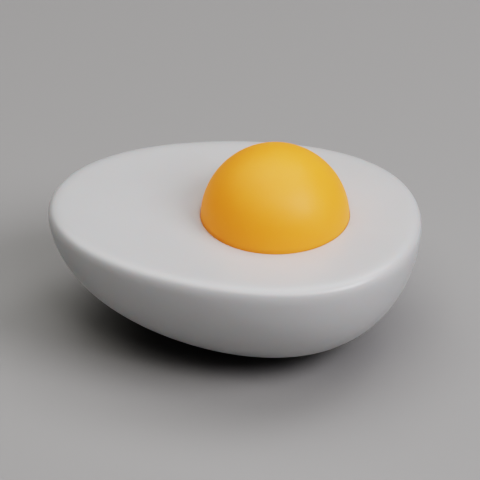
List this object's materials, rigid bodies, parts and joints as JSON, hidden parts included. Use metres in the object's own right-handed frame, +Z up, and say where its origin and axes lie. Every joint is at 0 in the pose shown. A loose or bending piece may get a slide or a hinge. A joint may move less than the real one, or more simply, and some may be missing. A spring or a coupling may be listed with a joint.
{
  "type": "hard boiled egg half",
  "caption": "Half of a peeled hard boiled egg, cut lengthwise and lying cut face up, with a rounded rim and the whole ball of its yolk standing proud of the white.",
  "frame": {"origin": "on the surface that the egg half rests on, under the middle of its length and breadth", "axes": "+X along the egg towards its blunt end, +Y across it, +Z up, square to the cut face"},
  "size_m": [0.0558, 0.0426, 0.0317],
  "materials": {
    "cooked_white": "satin",
    "cooked_yolk": "matte"
  },
  "bodies": {
    "root": {"egg_white": "cooked_white", "egg_yolk": "cooked_yolk"}
  },
  "joints": []
}
